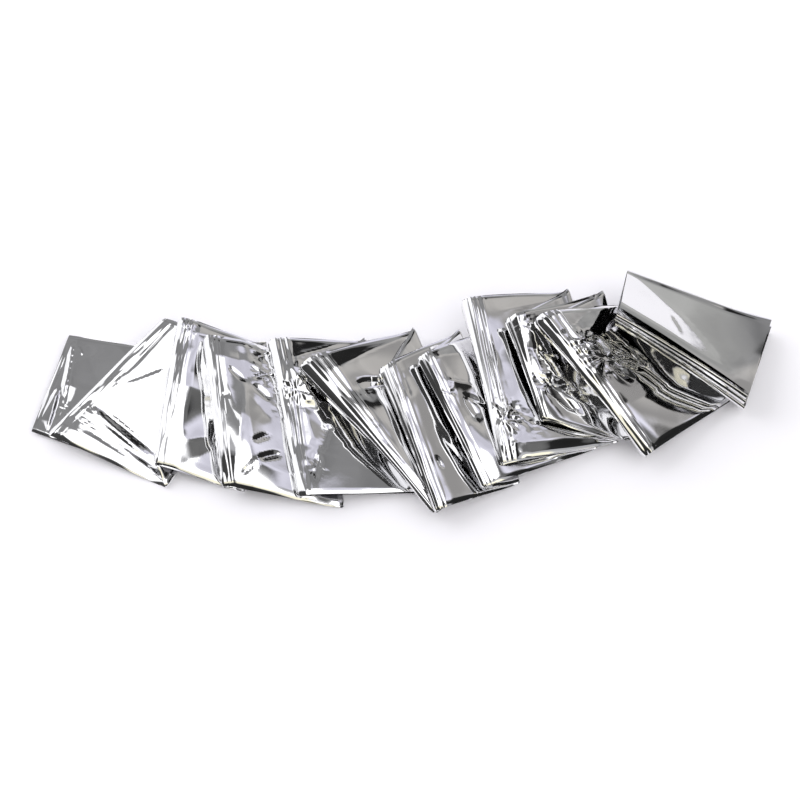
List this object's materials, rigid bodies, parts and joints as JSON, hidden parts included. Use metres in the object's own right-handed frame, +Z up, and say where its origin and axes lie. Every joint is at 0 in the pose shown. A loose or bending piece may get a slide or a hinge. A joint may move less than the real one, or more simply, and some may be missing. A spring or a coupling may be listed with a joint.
{
  "type": "emergency foil blanket",
  "caption": "Silver metallised film emergency blanket, folded to a narrow strip and pulled out in overlapping cross folds, lying on a surface with its end stack fanned",
  "frame": {"origin": "under the middle of the bounding box, on the surface it rests on", "axes": "+X along the strip to the end stack, +Y to the far edge of the strip, +Z up"},
  "size_m": [0.5034, 0.1744, 0.0548],
  "materials": {
    "film": "bright metallised polyester film, finely wrinkled, mirror-like on both faces"
  },
  "bodies": {
    "root": {"foil_blanket": "film"}
  },
  "joints": []
}
